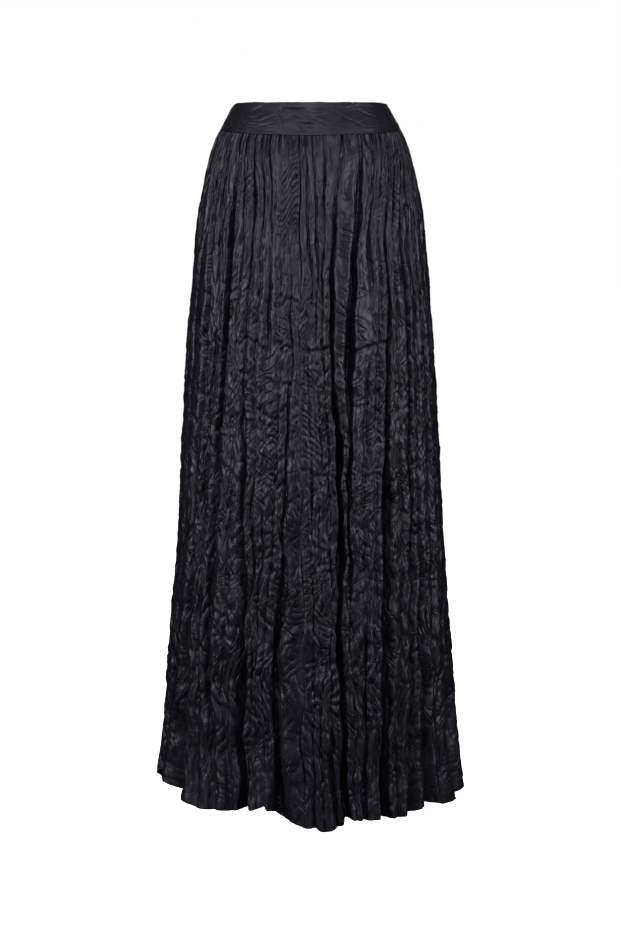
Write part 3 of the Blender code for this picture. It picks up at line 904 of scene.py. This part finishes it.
def zip_details(finish):
    """The zip's coil, whose two sides mesh at the middle, and the stitches that hold the tape."""
    for side in (-1, 1):
        name = "left" if side > 0 else "right"
        start = ZIP_TOP + 14 + (COIL_PITCH / 2 if side > 0 else 0)
        behind = TAPE_WALL + SEAM_GAP + CHAIN_WALL / 2
        teeth = zip_path(np.arange(start, ZIP_BOTTOM - 4, COIL_PITCH), behind)
        teeth[:, 0] = side * COIL_ASIDE * MM
        small_blocks("zip_coil_" + name, COIL_SIZE, 0.35, teeth, finish)
        stitches = zip_path(np.arange(ZIP_TOP + 3, ZIP_BOTTOM - 2, STITCH_PITCH), TAPE_WALL)
        stitches[:, 0] = side * STITCH_ASIDE * MM
        small_blocks("zip_stitches_" + name, STITCH_SIZE, 0.12, stitches, finish)


# Materials


def node(tree, kind, **settings):
    """A shader node, with some of its inputs and properties set."""
    made = tree.nodes.new(kind)
    for key, value in settings.items():
        if key in made.inputs:
            made.inputs[key].default_value = value
        else:
            setattr(made, key, value)
    return made


def maths(tree, operation, *values):
    """A Math node. Each value is a socket or a number."""
    made = tree.nodes.new("ShaderNodeMath")
    made.operation = operation
    for place, value in enumerate(values):
        if isinstance(value, (int, float)):
            made.inputs[place].default_value = value
        else:
            tree.links.new(value, made.inputs[place])
    return made.outputs[0]


def new_finish(name, colour):
    """A material with a Principled shader, and its tree."""
    made = bpy.data.materials.new(name)
    made.use_nodes = True
    made.diffuse_color = (*colour, 1)
    tree = made.node_tree
    return made, tree, tree.nodes["Principled BSDF"]


def scaled(tree, vector, scale):
    """Coordinates times a number along each axis."""
    mapping = node(tree, "ShaderNodeMapping", Scale=scale)
    tree.links.new(vector, mapping.inputs["Vector"])
    return mapping.outputs["Vector"]


def turned(tree, vector, degrees):
    """Coordinates turned in the plane of the cloth."""
    mapping = node(tree, "ShaderNodeMapping", Rotation=(0, 0, math.radians(degrees)))
    tree.links.new(vector, mapping.inputs["Vector"])
    return mapping.outputs["Vector"]


def noise(tree, vector, scale, detail=2.0):
    """Soft noise with so many waves to the metre along each axis, about 0.5 on average."""
    made = node(tree, "ShaderNodeTexNoise", Scale=1.0, Detail=detail)
    tree.links.new(scaled(tree, vector, scale), made.inputs["Vector"])
    return made.outputs["Fac"]


def mapped(tree, value, low, high, to_low, to_high):
    """A value moved from one range to another and kept within it."""
    made = tree.nodes.new("ShaderNodeMapRange")
    for name, number in zip(("From Min", "From Max", "To Min", "To Max"), (low, high, to_low, to_high)):
        made.inputs[name].default_value = number
    tree.links.new(value, made.inputs["Value"])
    return made.outputs["Result"]


def tinted(tree, shader, value, dark, light, lit=None):
    """Base colour from dark to light with a value, dimmed by painted shade where lit is under 1."""
    ramp = tree.nodes.new("ShaderNodeValToRGB")
    ramp.color_ramp.elements[0].color = (*dark, 1)
    ramp.color_ramp.elements[1].color = (*light, 1)
    tree.links.new(value, ramp.inputs["Fac"])
    colour = ramp.outputs["Color"]
    if lit is not None:
        dimmed = node(tree, "ShaderNodeVectorMath", operation="SCALE")
        tree.links.new(colour, dimmed.inputs[0])
        tree.links.new(lit, dimmed.inputs["Scale"])
        colour = dimmed.outputs["Vector"]
    tree.links.new(colour, shader.inputs["Base Color"])


def bumped(tree, shader, height_mm):
    """Fine relief on a shader, from a height in millimetres."""
    bump = node(tree, "ShaderNodeBump", Strength=1.0, Distance=MM)
    tree.links.new(height_mm, bump.inputs["Height"])
    tree.links.new(bump.outputs["Normal"], shader.inputs["Normal"])


def ridged(tree, vector, scale, width, detail=1.0):
    """Thin crests, 1 on the line and 0 at a width of the noise from it."""
    field = maths(tree, "SUBTRACT", noise(tree, vector, scale, detail=detail), 0.5)
    return mapped(tree, maths(tree, "ABSOLUTE", field), 0.0, width, 1.0, 0.0)


def hollows(tree, vector, scale):
    """Hollows in cells side by side, 0 at their middles, with sharp ridges between them."""
    made = node(tree, "ShaderNodeTexVoronoi", Scale=1.0, voronoi_dimensions="2D")
    tree.links.new(scaled(tree, vector, scale), made.inputs["Vector"])
    return made.outputs["Distance"]


def bent(tree, vector, scale, reach):
    """Coordinates pulled about by noise."""
    turn = node(tree, "ShaderNodeTexNoise", Scale=1.0, Detail=0.0)
    tree.links.new(scaled(tree, vector, scale), turn.inputs["Vector"])
    shift = node(tree, "ShaderNodeVectorMath", operation="MULTIPLY_ADD")
    tree.links.new(turn.outputs["Color"], shift.inputs[0])
    shift.inputs[1].default_value = reach
    tree.links.new(vector, shift.inputs[2])
    return shift.outputs["Vector"]


def summed(tree, parts):
    """The sum of some sockets, each times a number."""
    total = 0.0
    for socket, times in parts:
        total = maths(tree, "ADD", maths(tree, "MULTIPLY", socket, times), total)
    return total


def slants(tree, vector, lean, scale, width, side):
    """Narrow creases, 1 along each, that lean one way where side is 1 and the other where it is 0."""
    one_way = ridged(tree, turned(tree, vector, lean), scale, width)
    other_way = ridged(tree, turned(tree, vector, -lean), scale, width)
    rest = maths(tree, "MULTIPLY_ADD", side, -1.0, 1.0)
    return maths(tree, "MULTIPLY_ADD", other_way, rest, maths(tree, "MULTIPLY", one_way, side))


def satin(name, dark, light, roughness, crinkle, shine):
    """Crushed satin: crinkles 3 to 8 mm apart, a satin weave and a soft shine, with shade painted into
    its creases and hollows.
    """
    made, tree, shader = new_finish(name, dark)
    shader.inputs["Specular Tint"].default_value = (0.9, 0.865, 1.0, 1)
    flat = node(tree, "ShaderNodeUVMap", uv_map="cloth").outputs["UV"]
    shares = {}
    for label in ("crush", "facet", "gather", "hollow_shade"):
        shares[label] = node(tree, "ShaderNodeAttribute", attribute_name=label).outputs["Fac"]
    cloth = bent(tree, flat, (26, 15, 1), (0.035, 0.03, 0))
    slanted = bent(tree, flat, (19, 11, 1), (0.09, 0.05, 0))
    patches = mapped(tree, noise(tree, flat, (21, 13, 1)), 0.38, 0.6, 0.2, 1.0)
    others = mapped(tree, noise(tree, flat, (17, 9, 1)), 0.36, 0.6, 0.15, 1.0)
    patches = maths(tree, "MULTIPLY", patches, shares["crush"])
    others = maths(tree, "MULTIPLY", others, shares["facet"])
    side = mapped(tree, noise(tree, flat, (24, 16, 1)), 0.46, 0.54, 0.0, 1.0)
    crossing = maths(tree, "MULTIPLY", slants(tree, cloth, 40, (96, 27, 1), 0.075, side), patches)
    upright = maths(tree, "MULTIPLY", slants(tree, slanted, 14, (62, 11, 1), 0.06, side), others)
    wide, narrow = ridged(tree, cloth, (75, 7, 1), 0.1), ridged(tree, cloth, (130, 13, 1), 0.1)
    gathers = summed(tree, ((wide, 0.72), (narrow, 0.28)))
    gathers = maths(tree, "MULTIPLY", gathers, shares["gather"])
    facets = maths(tree, "MULTIPLY", hollows(tree, slanted, (64, 15, 1)), shares["facet"])
    folds = summed(tree, ((crossing, -1.0), (upright, -1.2), (facets, 1.2), (gathers, -1.9)))
    streaks = noise(tree, flat, (420, 14, 1))
    weave = noise(tree, flat, (1400, 5200, 1), detail=0.0)
    bumped(tree, shader, summed(tree, ((folds, crinkle), (streaks, 0.22), (weave, 0.02))))
    # Painted shade: the colour and the shine are dimmed along the crinkles, the gathers and the hollows,
    # where shade would fall.
    shade = summed(tree, ((crossing, 0.5), (upright, 0.5), (gathers, 0.15), (shares["hollow_shade"], 0.52)))
    lit = mapped(tree, shade, 0.0, 1.0, 1.0, 0.12)
    tree.links.new(maths(tree, "MULTIPLY", lit, shine), shader.inputs["Specular IOR Level"])
    tinted(tree, shader, noise(tree, flat, (9, 5, 1), detail=3.0), dark, light, lit)
    wear = noise(tree, flat, (40, 22, 1), detail=3.0)
    worn = mapped(tree, wear, 0.3, 0.7, roughness - 0.05, roughness + 0.08)
    tree.links.new(worn, shader.inputs["Roughness"])
    return made


def woven_tape(name):
    """Woven polyester zip tape, in ribs of half a millimetre."""
    made, tree, shader = new_finish(name, (0.014, 0.013, 0.016))
    place = node(tree, "ShaderNodeTexCoord").outputs["Object"]
    ribs = node(tree, "ShaderNodeTexWave", Scale=1.0, wave_type="BANDS", bands_direction="Z")
    tree.links.new(scaled(tree, place, (300, 300, 300)), ribs.inputs["Vector"])
    bumped(tree, shader, maths(tree, "MULTIPLY", ribs.outputs["Fac"], 0.12))
    threads = noise(tree, place, (900, 900, 900))
    tinted(tree, shader, threads, (0.010, 0.0095, 0.012), (0.02, 0.019, 0.023))
    shader.inputs["Roughness"].default_value = 0.82
    return made


def enamel(name):
    """Black enamelled metal, with small scuffs."""
    made, tree, shader = new_finish(name, (0.012, 0.012, 0.014))
    place = node(tree, "ShaderNodeTexCoord").outputs["Object"]
    scuffs = noise(tree, place, (700, 700, 1600), detail=4.0)
    tree.links.new(mapped(tree, scuffs, 0.35, 0.7, 0.22, 0.42), shader.inputs["Roughness"])
    tinted(tree, shader, scuffs, (0.009, 0.009, 0.011), (0.022, 0.022, 0.026))
    bumped(tree, shader, maths(tree, "MULTIPLY", scuffs, 0.012))
    shader.inputs["Coat Weight"].default_value = 0.3
    return made


SATIN = satin("crushed_satin", (0.006, 0.0056, 0.0092), (0.0112, 0.0104, 0.0166), 0.4, 0.85, 0.42)
# The waistband is the skirt's satin with darker colours and less shine: painted shade that tones the
# smooth band down.
SHADED_BAND_SATIN = satin("band_satin", (0.0052, 0.0049, 0.0077), (0.0096, 0.009, 0.0138), 0.47, 0.7, 0.37)
TAPE = woven_tape("zip_tape")
ENAMEL = enamel("zip_enamel")


# The pieces

# Name, first and last fold, flat size, area that shows and waistband piece of each skirt panel
PANELS = (
    ("skirt_front_right", SIDE_RIGHT, CENTRE_FRONT, (0.49, 1.09), 0.41, "band_front_cloth"),
    ("skirt_front_left", CENTRE_FRONT, SIDE_LEFT, (0.6, 1.09), 0.52, "band_front_cloth"),
    ("skirt_back_left", SIDE_LEFT, CENTRE_BACK_FOLD, (0.51, 1.09), 0.47, "band_back_left_cloth"),
    ("skirt_back_right", CENTRE_BACK_FOLD, LAST_FOLD, (0.51, 1.09), 0.46, "band_back_right_cloth"),
)
for panel in PANELS:
    skirt_panel(*panel, SATIN)

band_piece("band_front", -90, 90, 260, SHADED_BAND_SATIN)
band_piece("band_back_left", 90, 180, 130, SHADED_BAND_SATIN)
band_piece("band_back_right", 180, 270, 130, SHADED_BAND_SATIN)

zip_details(TAPE)
ZIP_FINISHES = {"zip_tape": TAPE, "zip_chain": TAPE, "zip_slider": ENAMEL, "zip_pull": ENAMEL}
for cad_name, finish in ZIP_FINISHES.items():
    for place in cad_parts[cad_name].material_slots:
        place.material = finish


# Floor, light and camera

FLOOR_DROP = 0.35
CAMERA_DISTANCE = 2.9
CAMERA_TILT = 10.85
FOCAL_PIXELS = 1898
PHOTO_HEIGHT = 931
SENSOR = 36


def floor_finish():
    """A white floor, as bright as the room, so that it has no edge."""
    made, _, shader = new_finish("pale_floor", (1.0, 1.0, 1.0))
    shader.inputs["Base Color"].default_value = (0.9, 0.9, 0.9, 1)
    shader.inputs["Roughness"].default_value = 0.9
    shader.inputs["Emission Color"].default_value = (1, 1, 1, 1)
    shader.inputs["Emission Strength"].default_value = 1.0
    return made


def pale_floor():
    """A wide floor below the hem, which throws no light on the skirt."""
    mesh = bpy.data.meshes.new("floor")
    bm = bmesh.new()
    bmesh.ops.create_grid(bm, x_segments=1, y_segments=1, size=30)
    lowest = cad_box[0][2] - FLOOR_DROP
    bmesh.ops.translate(bm, vec=(0, 0, lowest), verts=bm.verts)
    bm.to_mesh(mesh)
    bm.free()
    made = bpy.data.objects.new("floor", mesh)
    mesh.materials.append(floor_finish())
    bpy.context.scene.collection.objects.link(made)
    made.visible_diffuse = False
    made.visible_glossy = False


def softbox(name, place, target, width, height, power):
    """A soft rectangular light that faces a target, in metres and watts."""
    lamp = bpy.data.lights.new(name, "AREA")
    lamp.shape = "RECTANGLE"
    lamp.size = width
    lamp.size_y = height
    lamp.energy = power
    made = bpy.data.objects.new(name, lamp)
    made.location = place
    aim = (target[0] - place[0], target[1] - place[1], target[2] - place[2])
    across = math.hypot(aim[0], aim[1])
    made.rotation_euler = (math.atan2(across, -aim[2]), 0, math.atan2(aim[1], aim[0]) - math.pi / 2)
    bpy.context.scene.collection.objects.link(made)


def white_room():
    """A white background that throws no light on the skirt."""
    world = bpy.data.worlds.new("white_room")
    world.use_nodes = True
    world.node_tree.nodes["Background"].inputs["Color"].default_value = (1, 1, 1, 1)
    world.node_tree.nodes["Background"].inputs["Strength"].default_value = 1.0
    world.cycles_visibility.diffuse = False
    world.cycles_visibility.glossy = False
    bpy.context.scene.world = world


def photo_camera():
    """The photograph's camera, level with the waistband and tilted down."""
    lens = bpy.data.cameras.new("camera")
    lens.sensor_fit = "AUTO"
    lens.sensor_width = SENSOR
    lens.lens = SENSOR * FOCAL_PIXELS / PHOTO_HEIGHT
    lens.clip_end = 100
    made = bpy.data.objects.new("camera", lens)
    made.location = (0, -CAMERA_DISTANCE, BAND_HEIGHT / 2)
    made.rotation_euler = (math.radians(90 - CAMERA_TILT), 0, 0)
    bpy.context.scene.collection.objects.link(made)
    bpy.context.scene.camera = made


pale_floor()
white_room()
softbox("key", (-0.3, -2.5, 1.1), (0, 0, -0.5), 1.5, 0.9, 36)
softbox("left_side", (2.3, -1.5, 0.15), (0, 0, -0.5), 0.8, 1.6, 44)
softbox("right_side", (-2.3, -1.5, 0.15), (0, 0, -0.5), 0.8, 1.6, 44)
softbox("back", (0, 2.5, 1.4), (0, 0, -0.7), 1.5, 0.9, 115)
softbox("top", (0, 0, 2.4), (0, 0, 0), 1.6, 1.6, 26)
photo_camera()
bpy.context.scene.view_settings.view_transform = "Standard"
